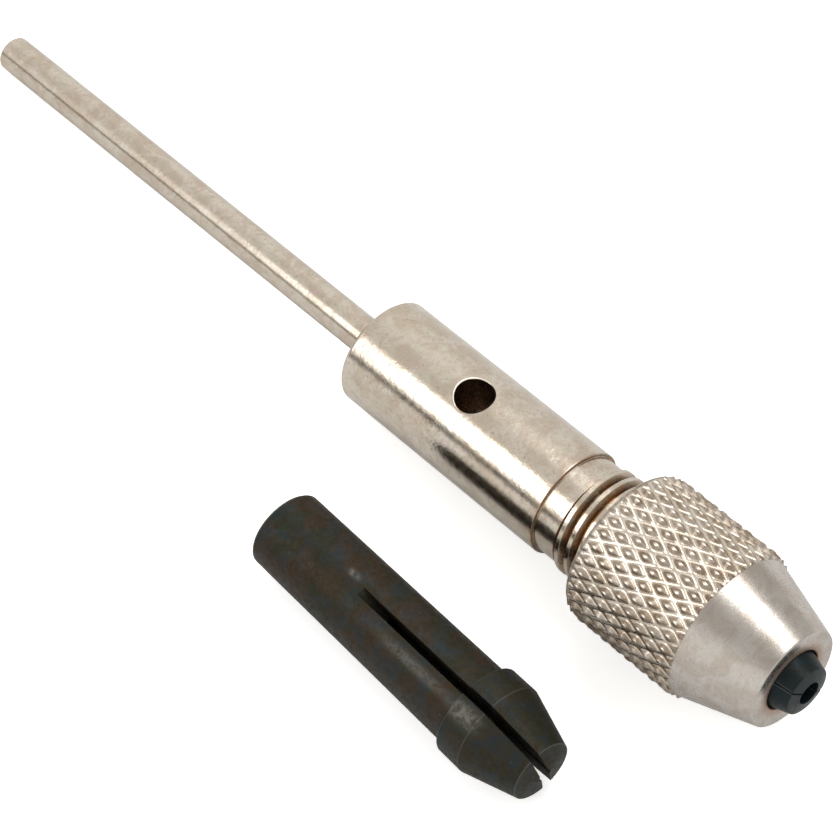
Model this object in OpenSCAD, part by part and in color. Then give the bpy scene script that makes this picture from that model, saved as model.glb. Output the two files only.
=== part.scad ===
// Shanked pin vise drill holder: a straight shank pressed into a turned body,
// a two-jaw collet that the clamping nut closes on the drill, and a spare
// collet lying beside it on the same bench top. The nut's knurl is left plain.
// Frame: +X runs along the tool's axis towards the nose, +Z is up, and the
// origin is the centre of the body's rear face.

/* [Shank] */
// Diameter of the shank
shank_d = 3.175; // [3:0.025:3.3]
// Length of shank that stands out behind the body
shank_len = 48.25; // [30:0.25:60]
// Diameter of the shank's pressed end, ahead of its shoulder
press_d = 2.8; // [2.4:0.1:2.8]
// Depth that the shank is pressed into the body
shank_press = 8; // [5:0.5:8.5]

/* [Body] */
// Diameter of the barrel
body_d = 9.525; // [9.5:0.005:9.6]
// Length of the barrel behind the thread relief
barrel_len = 22.2; // [20:0.1:23]
// Diameter of the thread relief
relief_d = 8.9; // [8.4:0.1:9.2]
// Front end of the thread relief
relief_end = 24.7; // [24.4:0.1:25]
// Front face of the body
body_end = 38.8; // [38.7:0.05:38.9]
// Diameter of the cross hole, which takes a tommy bar
cross_d = 3.3; // [3:0.1:3.4]
// Distance of the cross hole from the rear face
cross_x = 11.6; // [10.8:0.1:12.2]

/* [Thread] */
// Pitch of the body and nut thread, 24 turns to the inch
pitch = 1.0583; // [1.05:0.0001:1.066]
// Crest diameter of the thread on the body
male_crest_d = 9.5; // [9.44:0.02:9.54]
// Root diameter of the thread on the body
male_root_d = 8.24; // [8.2:0.02:8.28]
// Crest diameter of the thread in the nut
female_crest_d = 8.48; // [8.46:0.02:8.52]
// Root diameter of the thread in the nut
female_root_d = 9.68; // [9.66:0.02:9.72]
// Flat facets in one turn of the thread
facets = 30; // [24:2:36]

/* [Nut] */
// Diameter over the knurled grip
knurl_d = 13.6; // [13.2:0.1:14]
// Rear face of the nut
nut_rear = 27.75; // [27.6:0.05:27.9]
// Front end of the knurled grip
knurl_end = 38.97; // [38.6:0.05:39.2]
// Diameter where the smooth nose cone starts
nose_rear_d = 12.82; // [12.6:0.02:13]
// Front face of the nut
nut_front = 45.64; // [45.6:0.02:45.7]
// Diameter of the nose at its front face
nose_front_d = 8.88; // [8.6:0.02:9]
// Diameter of the nose opening
nose_bore_d = 5.42; // [5.4:0.02:5.46]

/* [Collets] */
// Diameter of the collet's tail
tail_d = 6.86; // [6.8:0.02:6.88]
// Length from the collet's rear face to its collar
tail_len = 22.6; // [22:0.1:22.8]
// Length from the collet's rear face to the end of its slot
slot_root = 10.5; // [9.8:0.1:11]
// Diameter of the collar that faces the body's front face
collar_d = 7.8; // [7.76:0.02:7.82]
// Length of the collar
collar_len = 2.4; // [2.36:0.02:2.44]
// Half angle of the closing cone
cone_angle = 17; // [16.9:0.1:17.1]
// Diameter at the front end of the fitted collet's closing cone
cone_front_d = 4.24; // [4.2:0.02:4.3]
// Slope of the slightly pointed end face, from flat
face_angle = 12; // [10:1:13]
// Diameter of the hole that grips the drill
grip_d = 2.0; // [1.2:0.1:2]
// Length of the gripping hole behind the tip
grip_len = 9; // [6:0.5:12]
// Width of the fitted collet's saw slot
slot_w = 0.65; // [0.5:0.05:0.7]

/* [Spare collet] */
// Diameter of the spare collet's tail at its rear
spare_tail_d = 6.9; // [6.8:0.02:6.96]
// Length from its rear face to its collar
spare_tail_len = 22.95; // [22:0.05:23.2]
// Diameter of its tail at the collar
spare_waist_d = 7.26; // [7.1:0.02:7.3]
// Diameter of its collar
spare_collar_d = 8.34; // [8:0.02:8.4]
// Length of its collar
spare_collar_len = 2.5; // [2.4:0.01:3]
// Diameter at the front end of its closing cone
spare_front_d = 5.4; // [5:0.1:5.6]
// Width of its saw slot
spare_slot_w = 0.78; // [0.7:0.02:0.84]
// Angle each of its jaws springs open when nothing closes it
spring_open = 0.1; // [0.1:0.1:0.4]
// Diameter of its gripping hole
spare_grip_d = 1.0; // [0.9:0.1:1.6]

/* [Spare collet on the bench] */
// Distance of the spare collet's rear face ahead of the body's rear face
spare_x = 5.77; // [0:0.01:12]
// Distance of the spare collet's rear face from the tool's axis
spare_y = 16.46; // [13:0.01:30]
// Turn of the spare collet away from the tool on the bench
spare_yaw = 1.9; // [0:0.05:10]
// Roll of the spare collet's slot from upright
spare_roll = 8.5; // [0:0.1:90]

/* [Hidden] */

$fn = 96;
nickel = [0.78, 0.75, 0.71];
bright_nickel = [0.84, 0.82, 0.79];
oxide = [0.16, 0.15, 0.13];
eps = 0.01;                             // overlap of adjoining cuts
past = 1;                               // how far a cut runs out past a face
block_w = 20;                           // cutting block, wider than any collet

// Collet sizes, as [tail diameter at the rear, tail diameter at the collar,
// collar diameter, collar length, cone's front diameter, tail length].
fitted = [tail_d, tail_d, collar_d, collar_len, cone_front_d, tail_len];
spare = [spare_tail_d, spare_waist_d, spare_collar_d, spare_collar_len,
         spare_front_d, spare_tail_len];
TAIL_D = 0;
WAIST_D = 1;
COLLAR_D = 2;
COLLAR_LEN = 3;
FRONT_D = 4;
TAIL_LEN = 5;
taper = tan(cone_angle);
bore_step = 1.2;                        // rear bore over gripping hole, on diameter

// Fitted collet in the body
seat_gap = 0.12;                        // collar to body face, closed
collet_rear = body_end + seat_gap - tail_len;
root_x = collet_rear + slot_root;       // where the jaws flex
slot_turn = -45;                        // roll of its slot from flat
jaw_open = 0.85;                        // opening of each jaw over the nut's travel
split_gap = 0.06;                       // flexing jaws to the collet's tail
joint_gap = 0.12;                       // closed jaws across the slot, at the tip
bore_d = tail_d + 0.12;
bore_front_d = tail_d + 0.1 + 2 * (body_end - root_x) * tan(jaw_open);
bore_rear = collet_rear - 0.25;

// Threads: the body's ridge crosses +Y at thread_x, and the nut's ridge starts
// at +Y, midway between the body's ridges.
thread_x = relief_end - 0.2;
male_start = -100;                      // angle where the body's ridge starts
nut_thread_min = nut_rear + 0.9;
thread_shift = thread_x + pitch / 2 - nut_thread_min;
nut_thread_x = nut_thread_min + thread_shift - pitch * floor(thread_shift / pitch);
ridge_sink = 0.1;                       // depth of a ridge's foot in its wall

// Bench top under the tool: it rests on the nut's rear rim and the shank's end.
rim_x = nut_rear + 0.35;
bench_tilt = atan((knurl_d - shank_d) / 2 / (rim_x + shank_len));
function bench_z(x) = -knurl_d / 2 - (x - rim_x) * tan(bench_tilt);

// ---- Shared shapes ----

// Turns a shape drawn along +Z so that it runs along +X.
module along_x() rotate([0, 90, 0]) children();

// A turned piece from [x, radius] pairs, closed down to the axis.
module turned(outline) along_x() rotate_extrude()
    polygon(concat([[0, outline[0][0]]], [for (p = outline) [p[1], p[0]]],
                   [[0, outline[len(outline) - 1][0]]]));

module rod(x0, x1, d) translate([x0, 0, 0]) along_x() cylinder(h = x1 - x0, d = d);

module cone(x0, x1, d0, d1) translate([x0, 0, 0]) along_x()
    cylinder(h = x1 - x0, d1 = d0, d2 = d1);

// A block that fills everything ahead of x and above z.
module block(x, z = -block_w / 2, length = 40)
    translate([x, -block_w / 2, z]) cube([length, block_w, block_w]);

// A right-hand helical ridge of trapezium section, from its foot radius to its
// crest radius, outwards or inwards. It fades out over half a turn at each end.
// start is its first angle, from +Y towards +Z.
module helix_ridge(x0, x1, foot_r, crest_r, foot_w, crest_w, start = 0) {
    steps = floor((x1 - x0) / pitch * facets);
    fade = facets / 2;
    side = crest_r > foot_r ? 1 : -1;   // keeps the faces turned outwards
    function grow(i) = min(1, (i + 0.6) / fade, (steps - i + 0.6) / fade);
    // Four corners of the section at step i, as [offset along X, radius].
    function section(i) =
        let (r = foot_r + (crest_r - foot_r) * grow(i),
             foot = side * foot_w / 2,
             crest = side * (foot_w + (crest_w - foot_w) * grow(i)) / 2)
        [[-foot, foot_r], [-crest, r], [crest, r], [foot, foot_r]];
    points = [for (i = [0 : steps])
        let (angle = start + 360 * i / facets, x = x0 + pitch * i / facets)
        for (s = section(i)) [x + s[0], s[1] * cos(angle), s[1] * sin(angle)]];
    sides = [for (i = [0 : steps - 1]) for (k = [0 : 3])
        let (here = 4 * i + k, next = 4 * i + (k + 1) % 4)
        for (face = [[here, next, next + 4], [here, next + 4, here + 4]]) face];
    last = 4 * steps;
    caps = [[0, 2, 1], [0, 3, 2],
            [last, last + 1, last + 2], [last, last + 2, last + 3]];
    polyhedron(points = points, faces = concat(sides, caps), convexity = 10);
}

// ---- Shank, body and nut ----

// Shank: a plain ground pin. Its shoulder stands on the body's rear face, and
// the smaller end beyond it is pressed into the body.
module shank() {
    chamfer = 0.3;
    color(bright_nickel)
        turned([[-shank_len, shank_d / 2 - chamfer],
                [-shank_len + chamfer, shank_d / 2],
                [0, shank_d / 2],
                [0, press_d / 2],
                [shank_press - chamfer, press_d / 2],
                [shank_press, press_d / 2 - chamfer]]);
}

// Barrel, relief and thread core, before drilling.
module body_blank() {
    rear_chamfer = 0.25;
    barrel_chamfer = 0.12;
    front_chamfer = 0.15;
    turned([[0, body_d / 2 - rear_chamfer],
            [rear_chamfer, body_d / 2],
            [barrel_len - barrel_chamfer, body_d / 2],
            [barrel_len, body_d / 2 - barrel_chamfer],
            [barrel_len, relief_d / 2],
            [relief_end - (relief_d - male_root_d) / 2, relief_d / 2],
            [relief_end, male_root_d / 2],
            [body_end - front_chamfer, male_root_d / 2],
            [body_end, male_root_d / 2 - front_chamfer]]);
}

module body() color(nickel) difference() {
    union() {
        body_blank();
        helix_ridge(x0 = thread_x + pitch * male_start / 360, x1 = body_end - 0.55,
                    foot_r = male_root_d / 2 - ridge_sink, crest_r = male_crest_d / 2,
                    foot_w = 1, crest_w = 0.36, start = male_start);
    }
    // seat for the shank
    rod(-past, shank_press + 0.2, press_d);
    // collet bore, opening towards the front so that the jaws can spread
    rod(bore_rear, root_x, bore_d);
    cone(root_x - eps, body_end + eps, bore_d, bore_front_d);
    // cross hole
    translate([cross_x, 0, 0]) cylinder(h = 2 * body_d, d = cross_d, center = true);
}

// Grip and smooth nose cone, before boring.
module nut_blank() {
    edge = 0.12;                        // length of the steps at the nose's ends
    turned([[nut_rear, knurl_d / 2 - 0.5],
            [rim_x, knurl_d / 2],
            [knurl_end, knurl_d / 2],
            [knurl_end + edge, nose_rear_d / 2],
            [nut_front - edge, nose_front_d / 2 + 0.035],
            [nut_front, nose_front_d / 2 - 0.1]]);
}

module nut() color(nickel) {
    chamber_end = body_end + 0.35;
    taper_back = chamber_end - eps;
    lead_in_back = nut_rear - eps;
    difference() {
        nut_blank();
        // thread chamber, clear of the body's thread
        rod(nut_rear - past, chamber_end, female_root_d);
        // closing taper up to the nose opening
        cone(taper_back, nut_front,
             nose_bore_d + 2 * (nut_front - taper_back) * taper, nose_bore_d);
        rod(nut_front - eps, nut_front + past, nose_bore_d);
        // lead-in at the rear of the thread
        cone(lead_in_back, lead_in_back + 0.4, female_root_d + 0.7, female_root_d - 0.1);
    }
    helix_ridge(x0 = nut_thread_x, x1 = knurl_end - 2.2,
                foot_r = female_root_d / 2 + ridge_sink, crest_r = female_crest_d / 2,
                foot_w = 0.72, crest_w = 0.07);
}

// ---- Collets ----

// x of the cone's front end, from the collet's rear face.
function cone_end(c) =
    c[TAIL_LEN] + c[COLLAR_LEN] + (c[COLLAR_D] - c[FRONT_D]) / 2 / taper;

// Length of a collet with a hole of diameter hole_d through its pointed end face.
function collet_len(c, hole_d) =
    cone_end(c) + (c[FRONT_D] - hole_d) / 2 * tan(face_angle);

// Outside of collet c from its rear face to its tip, as [x, radius] pairs.
// slim is how much the tail is turned down, on the radius.
function collet_outline(c, x0, slim) =
    let (rear_chamfer = 0.2, collar_chamfer = 0.08, tip_d = 0.6,
         collar_x = x0 + c[TAIL_LEN])
    [[x0, c[TAIL_D] / 2 - slim - rear_chamfer],
     [x0 + rear_chamfer, c[TAIL_D] / 2 - slim],
     [collar_x, c[WAIST_D] / 2 - slim],
     [collar_x, c[COLLAR_D] / 2 - collar_chamfer],
     [collar_x + collar_chamfer, c[COLLAR_D] / 2],
     [collar_x + c[COLLAR_LEN], c[COLLAR_D] / 2],
     [x0 + cone_end(c), c[FRONT_D] / 2],
     [x0 + collet_len(c, tip_d), tip_d / 2]];

// A collet turned and drilled but not yet slit. slim also widens the rear bore.
module collet_blank(c, x0, hole_d, slim = 0) {
    tip_x = x0 + collet_len(c, hole_d);
    difference() {
        turned(collet_outline(c, x0, slim));
        rod(x0 - past, tip_x + past, hole_d);
        rod(x0 - past, tip_x - grip_len, hole_d + bore_step + 8 * slim);
    }
}

// The undivided tail of a collet, behind its slot.
module undivided_tail(c, x0, hole_d) difference() {
    collet_blank(c, x0, hole_d);
    block(x0 + slot_root, length = 60);
}

module collet_tail() color(oxide) undivided_tail(fitted, collet_rear, grip_d);

// One flexing jaw of the fitted collet with the slot lying flat. Its slot face
// tapers from half the saw width at the slot's end to half joint_gap at the tip.
module fitted_jaw() {
    tilt = atan((slot_w - joint_gap) / 2 / (collet_len(fitted, grip_d) - slot_root));
    intersection() {
        collet_blank(fitted, collet_rear, grip_d);
        translate([root_x, 0, slot_w / 2]) rotate([0, tilt, 0]) block(0, 0);
        block(root_x + split_gap);
    }
}

module collet_jaw_a() color(oxide) rotate([slot_turn, 0, 0]) fitted_jaw();

module collet_jaw_b() color(oxide) rotate([slot_turn + 180, 0, 0]) fitted_jaw();

// One jaw of the spare collet, sprung open about the slot's end. It is slimmed
// so that its overlap with the tail stays inside the tail's wall.
module spare_jaw() {
    overlap = 0.8;
    translate([slot_root, 0, 0]) rotate([0, -spring_open, 0])
    translate([-slot_root, 0, 0])
    intersection() {
        collet_blank(spare, 0, spare_grip_d, slim = 0.04);
        block(slot_root - overlap, spare_slot_w / 2);
    }
}

// Spare collet, lying on the bench on its tail's rear and its collar's front.
module spare_collet() {
    nose_lift = asin((spare_collar_d - spare_tail_d) / 2
                     / (spare_tail_len + spare_collar_len));
    color(oxide)
        translate([spare_x, -spare_y, bench_z(spare_x) + spare_tail_d / 2])
        rotate([0, bench_tilt, 0]) rotate([0, 0, -spare_yaw])
        rotate([0, -nose_lift, 0]) rotate([90 + spare_roll, 0, 0]) {
            undivided_tail(spare, 0, spare_grip_d);
            for (side = [0, 180]) rotate([side, 0, 0]) spare_jaw();
        }
}

body();
shank();
nut();
collet_tail();
collet_jaw_a();
collet_jaw_b();
spare_collet();
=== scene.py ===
# A small collet holder: a shank pressed into a turned body, a knurled nut and a two-jaw collet,
# with a spare collet beside it on a white bench top.
# The holder's axis is X: the body's rear face is at x = 0, the shank points to -X and the
# collet's tip to +X. The spare lies on the -Y side. The bench slopes so that the shank's end
# and the nut's rim both touch it. Sizes are in mm until a mesh is made.
import math
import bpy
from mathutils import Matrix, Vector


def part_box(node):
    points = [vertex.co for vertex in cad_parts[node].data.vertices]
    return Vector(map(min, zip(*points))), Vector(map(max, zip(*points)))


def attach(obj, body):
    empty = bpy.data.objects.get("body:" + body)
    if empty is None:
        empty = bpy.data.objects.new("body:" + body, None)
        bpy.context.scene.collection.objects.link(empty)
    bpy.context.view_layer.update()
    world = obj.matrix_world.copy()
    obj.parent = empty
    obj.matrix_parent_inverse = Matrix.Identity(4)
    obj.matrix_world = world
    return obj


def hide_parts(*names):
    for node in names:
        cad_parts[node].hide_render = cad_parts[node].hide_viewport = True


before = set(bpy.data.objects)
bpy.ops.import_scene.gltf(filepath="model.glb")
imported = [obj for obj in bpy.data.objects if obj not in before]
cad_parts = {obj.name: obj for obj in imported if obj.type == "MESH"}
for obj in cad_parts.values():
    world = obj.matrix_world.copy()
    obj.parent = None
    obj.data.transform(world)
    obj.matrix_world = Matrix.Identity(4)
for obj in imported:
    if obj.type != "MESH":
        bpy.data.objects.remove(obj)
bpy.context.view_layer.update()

from types import SimpleNamespace

import bmesh
import bpy
import numpy as np
from mathutils import Matrix, Vector

MM = 0.001
TAU = 2 * math.pi


# ---------------------------------------------------------------- sizes
def box_mm(node):
    """Lower and upper corner of a CAD node's box."""
    return [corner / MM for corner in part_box(node)]


body_hi = box_mm("body")[1]
nut_lo, nut_hi = box_mm("nut")
shank_lo, shank_hi = box_mm("shank")
jaw_hi = box_mm("collet_jaw_a")[1]

BODY_R = 4.7625
BARREL_END = 22.2                           # front of the full-size barrel
RELIEF_R, RELIEF_END, BODY_END = 4.45, 24.7, body_hi.x
CROSS_X, CROSS_R = 11.6, 1.65               # cross hole, along Z
SHANK_R, SHANK_X0, SHANK_X1 = 1.5875, shank_lo.x, shank_hi.x
PRESS_R = 1.4                               # shank inside the body

PITCH = 1.0583
THREAD_X = RELIEF_END - 0.2                 # the body's ridge, where it crosses +Y
MALE_ROOT_R, MALE_CREST_R = 4.12, 4.75
FEMALE_ROOT_R, FEMALE_CREST_R = 4.84, 4.24

NUT_X0, NUT_X1 = nut_lo.x, nut_hi.x
NUT_MOUTH_R = 4.95                          # rear opening
KNURL_R, KNURL_X1, KNURL_DEPTH = 6.8, 38.97, 0.31
KNURL_STARTS = 34
KNURL_ANGLE = math.radians(26.1)
KNURL_PITCH_X = TAU * KNURL_R / KNURL_STARTS / math.tan(KNURL_ANGLE)
KNURL_TIP_X, KNURL_TIP_ANGLE = 30.33, math.radians(120.6)   # place of one pyramid
NOSE_R0, NOSE_R1, NOSE_BORE_R = 6.41, 4.44, 2.71

TAPER = math.tan(math.radians(17))          # collet cone and the nut's seat
FACE_SLOPE = math.tan(math.radians(12))     # collet tip face
SLOT_ROOT = 10.5                            # slot's closed end, from the collet's rear
GRIP_LENGTH = 9.0                           # narrow part of the collet's hole


class Collet:
    """Sizes of one collet; every length is measured from its rear edge."""

    def __init__(self, tail_len, rear_r, neck_r, collar_r, collar_len, front_r, slot, hole_r):
        self.tail_len = tail_len
        self.rear_r = rear_r
        self.neck_r = neck_r                # tail where it meets the collar
        self.collar_r = collar_r
        self.front_r = front_r
        self.slot = slot
        self.hole_r = hole_r
        self.collar_end = tail_len + collar_len
        self.cone_end = self.collar_end + (collar_r - front_r) / TAPER
        self.length = self.cone_end + (front_r - hole_r) * FACE_SLOPE


FITTED = Collet(tail_len=22.6, rear_r=3.43, neck_r=3.43, collar_r=3.9, collar_len=2.4,
                front_r=2.12, slot=0.65, hole_r=1.0)
FITTED_TIP_GAP = 0.12
SPARE = Collet(tail_len=22.95, rear_r=3.45, neck_r=3.63, collar_r=4.17, collar_len=2.5,
               front_r=2.7, slot=0.78, hole_r=0.5)
SPARE_X, SPARE_Y = 5.77, -16.46
TIP_X = jaw_hi.x
COLLET_X0 = TIP_X - FITTED.length

RIM_X = NUT_X0 + 0.35                       # nut rim, where it touches the bench
TILT = math.atan((KNURL_R - SHANK_R) / (RIM_X - SHANK_X0))


def bench_z(x):
    return -KNURL_R - (x - RIM_X) * math.tan(TILT)


# ---------------------------------------------------------------- mesh tools
def new_mesh(name, verts, faces, smooth_angle=30.0):
    """Makes a smooth-shaded object from vertices in mm."""
    mesh = bpy.data.meshes.new(name)
    mesh.from_pydata([tuple(v) for v in (np.asarray(verts, float) * MM)], [], faces)
    mesh.validate()
    ob = bpy.data.objects.new(name, mesh)
    bpy.context.scene.collection.objects.link(ob)
    for polygon in mesh.polygons:
        polygon.use_smooth = True
    mesh.set_sharp_from_angle(angle=math.radians(smooth_angle))
    return ob


def merge(*parts):
    verts, faces = [], []
    for part_verts, part_faces in parts:
        offset = len(verts)
        verts += list(part_verts)
        faces += [tuple(i + offset for i in face) for face in part_faces]
    return verts, faces


def solid(name, parts, smooth_angle=30.0):
    """Joins closed shells into one object and makes every shell face outwards."""
    verts, faces = merge(*parts)
    ob = new_mesh(name, verts, faces, smooth_angle)
    bm = bmesh.new()
    bm.from_mesh(ob.data)
    bmesh.ops.remove_doubles(bm, verts=bm.verts, dist=1e-8)
    bmesh.ops.recalc_face_normals(bm, faces=bm.faces)
    bm.to_mesh(ob.data)
    bm.free()
    ob.data.set_sharp_from_angle(angle=math.radians(smooth_angle))
    return ob


def rounded(corners):
    """Rounds an outline of (x, radius, fillet) rows; a row without a fillet stays sharp.
    A support point on each side of an arc keeps smooth shading true."""
    points = [np.array(corner[:2], float) for corner in corners]
    fillets = [corner[2] if len(corner) > 2 else 0.0 for corner in corners]
    out = []
    for i, corner in enumerate(points):
        if i in (0, len(points) - 1) or fillets[i] <= 0:
            out.append(corner)
            continue
        back, ahead = points[i - 1] - corner, points[i + 1] - corner
        back_len, ahead_len = np.linalg.norm(back), np.linalg.norm(ahead)
        back, ahead = back / back_len, ahead / ahead_len
        angle = math.acos(max(-1, min(1, float(back @ ahead))))
        if angle > math.radians(178):
            out.append(corner)
            continue
        trim = min(fillets[i] / math.tan(angle / 2), 0.45 * back_len, 0.45 * ahead_len)
        radius = trim * math.tan(angle / 2)
        start, end = corner + back * trim, corner + ahead * trim
        bisector = back + ahead
        centre = corner + bisector / np.linalg.norm(bisector) * (radius / math.sin(angle / 2))
        steps = max(3, int(math.degrees(math.pi - angle) / 15))
        spoke0, spoke1 = start - centre, end - centre
        cosine = float(spoke0 @ spoke1) / (radius * radius + 1e-12)
        sweep = math.acos(max(-1, min(1, cosine)))
        out.append(start + back * min(0.03, 0.2 * back_len))
        for k in range(steps + 1):
            f = k / steps
            spoke = math.sin((1 - f) * sweep) * spoke0 + math.sin(f * sweep) * spoke1
            out.append(centre + spoke / math.sin(sweep))
        out.append(end + ahead * min(0.03, 0.2 * ahead_len))
    return np.array(out)


def densify(outline, step):
    """Splits long segments, so that the rings stay roughly square."""
    out = [outline[0]]
    for a, b in zip(outline[:-1], outline[1:]):
        n = max(1, int(np.linalg.norm(b - a) / step))
        for k in range(1, n + 1):
            out.append(a + (b - a) * k / n)
    return np.array(out)


def circle(x, radius, angles):
    """Points round the X axis; radius is one number, or one for each angle."""
    radii = np.broadcast_to(radius, len(angles))
    return [(x, r * math.cos(a), r * math.sin(a)) for r, a in zip(radii, angles)]


def add_ring(verts, points):
    """Adds the points and returns their indices."""
    first = len(verts)
    verts.extend(points)
    return list(range(first, len(verts)))


def bridge(faces, *rings, closed=True):
    """Adds the quads between each ring, or open row, and the next."""
    for a, b in zip(rings[:-1], rings[1:]):
        n = len(a)
        for j in range(n if closed else n - 1):
            k = (j + 1) % n
            faces.append((a[j], b[j], b[k], a[k]))


def column_angles(n):
    return np.arange(n) * TAU / n


def revolve(outline, n):
    """Turns an (x, radius) outline about X. A point on the axis closes that end."""
    verts, faces, rings = [], [], []
    angles = column_angles(n)
    for x, r in outline:
        points = [(x, 0.0, 0.0)] if r < 1e-6 else circle(x, r, angles)
        rings.append(add_ring(verts, points))
    for a, b in zip(rings[:-1], rings[1:]):
        if len(a) == 1:
            faces += [(a[0], b[j], b[(j + 1) % n]) for j in range(n)]
        elif len(b) == 1:
            faces += [(a[j], b[0], a[(j + 1) % n]) for j in range(n)]
        else:
            bridge(faces, a, b)
    return verts, faces


# ---------------------------------------------------------------- threads
def thread_ridge(x0, x1, foot_r, crest_r, foot_width, crest_width, phase=0.0):
    """A helical ridge with a softened crest, fading out at both ends."""
    steps_per_turn = 120
    fade_steps = 0.4 * steps_per_turn
    soft = 0.035
    drop = math.copysign(soft, crest_r - foot_r)
    half = [
        (-foot_width / 2, foot_r),
        (-crest_width / 2 - soft * 0.55, crest_r - drop),
        (-crest_width / 2 - soft * 0.1, crest_r - drop * 0.3),
        (-crest_width / 2 + soft * 0.4, crest_r),
    ]
    section = half + [(-dx, r) for dx, r in reversed(half)]
    n = int((x1 - x0) / PITCH * steps_per_turn)
    m = len(section)
    verts = []
    for i in range(n + 1):
        angle = phase + TAU * i / steps_per_turn
        fade = min(1.0, (i + 0.5) / fade_steps, (n - i + 0.5) / fade_steps)
        fade = max(fade * fade * (3 - 2 * fade), 0.01)
        centre_x = x0 + PITCH * i / steps_per_turn
        for dx, r in section:
            faded = foot_r + (r - foot_r) * fade
            verts.append((centre_x + dx, faded * math.cos(angle), faded * math.sin(angle)))
    faces = []
    for i in range(n):
        for k in range(m):
            a, b = i * m + k, i * m + (k + 1) % m
            faces.append((a, b, b + m, a + m))
    faces.append(tuple(range(m)))
    faces.append(tuple(n * m + k for k in reversed(range(m))))
    if crest_r > foot_r:                     # an outward ridge would be inside out
        faces = [tuple(reversed(face)) for face in faces]
    return verts, faces


# ---------------------------------------------------------------- body
def fill_window(verts, faces, loop, sign):
    """Fills a square window inwards to the cross hole's rim, with a rounded lip.
    sign is +1 for the window at +Z and -1 at -Z. Returns the rim."""
    lip, fill_rings, lip_steps = 0.10, 10, 5
    lip_r = CROSS_R + lip
    square = [verts[v] for v in loop]
    angles = [sign * (math.radians(135) - TAU * i / len(loop)) for i in range(len(loop))]

    def surface(y):
        return math.sqrt(BODY_R * BODY_R - y * y)

    ring = loop
    for step in range(1, fill_rings + 1):
        f = (step / fill_rings) ** 0.8
        points = []
        for (edge_x, edge_y, _), angle in zip(square, angles):
            edge_x -= CROSS_X
            x = edge_x + (lip_r * math.cos(angle) - edge_x) * f
            y = edge_y + (lip_r * math.sin(angle) - edge_y) * f
            points.append((x + CROSS_X, y, sign * surface(y)))
        inner = add_ring(verts, points)
        bridge(faces, ring, inner)
        ring = inner
    for step in range(1, lip_steps + 1):
        turn = math.radians(90 * step / lip_steps)
        radius = CROSS_R + lip * (1 - math.sin(turn))
        drop = lip * (1 - math.cos(turn))
        points = []
        for angle in angles:
            y = radius * math.sin(angle)
            outer_z = surface(lip_r * math.sin(angle))
            z = outer_z + (surface(y) - outer_z) * 0.5 - drop
            points.append((radius * math.cos(angle) + CROSS_X, y, sign * z))
        inner = add_ring(verts, points)
        bridge(faces, ring, inner)
        ring = inner
    return ring


def build_body():
    columns = 256
    half_window = 26                         # columns each side of the hole's centre
    side = 2 * half_window                   # rows and columns across a window
    window_x = 2.75                          # half its length along X
    hole_levels = 14
    bore_r, bore_x = FITTED.rear_r + 0.06, COLLET_X0 - 0.25
    # x, radius, fillet
    rear = [
        (SHANK_X1 + 0.2, 0.0), (SHANK_X1 + 0.2, PRESS_R), (0.0, PRESS_R, 0.03),
        (0.0, BODY_R - 0.28, 0.12), (0.28, BODY_R, 0.22), (CROSS_X - window_x, BODY_R),
    ]
    front = [
        (CROSS_X + window_x, BODY_R), (BARREL_END - 0.04, BODY_R, 0.12),
        (BARREL_END, BODY_R - 0.1, 0.03), (BARREL_END, RELIEF_R, 0.06),
        (RELIEF_END - 0.33, RELIEF_R, 0.05), (RELIEF_END, MALE_ROOT_R, 0.08),
        (BODY_END - 0.15, MALE_ROOT_R, 0.03), (BODY_END, MALE_ROOT_R - 0.15, 0.03),
        (BODY_END, 3.66, 0.03), (COLLET_X0 + SLOT_ROOT, bore_r), (bore_x, bore_r),
        (bore_x, 0.0),
    ]
    rear_part = revolve(densify(rounded(rear), 1.2), columns)
    rear_count = len(rear_part[0])
    verts, faces = merge(rear_part, revolve(densify(rounded(front), 1.2), columns))

    # barrel between the two, with square windows at +Z and -Z
    grid = {}
    for j in range(columns):
        grid[0, j] = rear_count - columns + j
        grid[side, j] = rear_count + j
    centres = (columns // 4, 3 * columns // 4)
    inside = {j for c in centres for j in range(c - half_window + 1, c + half_window)}
    rows_x = np.linspace(CROSS_X - window_x, CROSS_X + window_x, side + 1)
    angles = column_angles(columns)
    for i in range(1, side):
        for j in range(columns):
            if j not in inside:
                grid[i, j] = len(verts)
                verts += circle(rows_x[i], BODY_R, angles[j:j + 1])
    open_columns = {j for c in centres for j in range(c - half_window, c + half_window)}
    for i in range(side):
        for j in range(columns):
            if j not in open_columns:
                k = (j + 1) % columns
                faces.append((grid[i, j], grid[i + 1, j], grid[i + 1, k], grid[i, k]))

    rims = []
    for centre, sign in zip(centres, (1.0, -1.0)):
        first, last = centre - half_window, centre + half_window
        loop = ([grid[t, first] for t in range(side)]
                + [grid[side, first + t] for t in range(side)]
                + [grid[side - t, last] for t in range(side)]
                + [grid[0, last - t] for t in range(side)])
        rims.append(fill_window(verts, faces, loop, sign))
    top, bottom = rims
    # the lower rim runs the other way round, so pair its points with the upper ones by angle
    bottom = [bottom[(3 * side - i) % len(bottom)] for i in range(len(bottom))]
    ring = top
    for level in range(1, hole_levels):
        points = []
        for upper, lower in zip(top, bottom):
            a, b = np.array(verts[upper]), np.array(verts[lower])
            points.append(tuple(a + (b - a) * (level / hole_levels)))
        lower_ring = add_ring(verts, points)
        bridge(faces, ring, lower_ring)
        ring = lower_ring
    bridge(faces, ring, bottom)

    lead = 100                               # degrees of thread before it crosses +Y
    ridge = thread_ridge(THREAD_X - PITCH * lead / 360, BODY_END - 0.55,
                         foot_r=MALE_ROOT_R - 0.1, crest_r=MALE_CREST_R,
                         foot_width=1.0, crest_width=0.36, phase=math.radians(-lead))
    return [(verts, faces), ridge]


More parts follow.
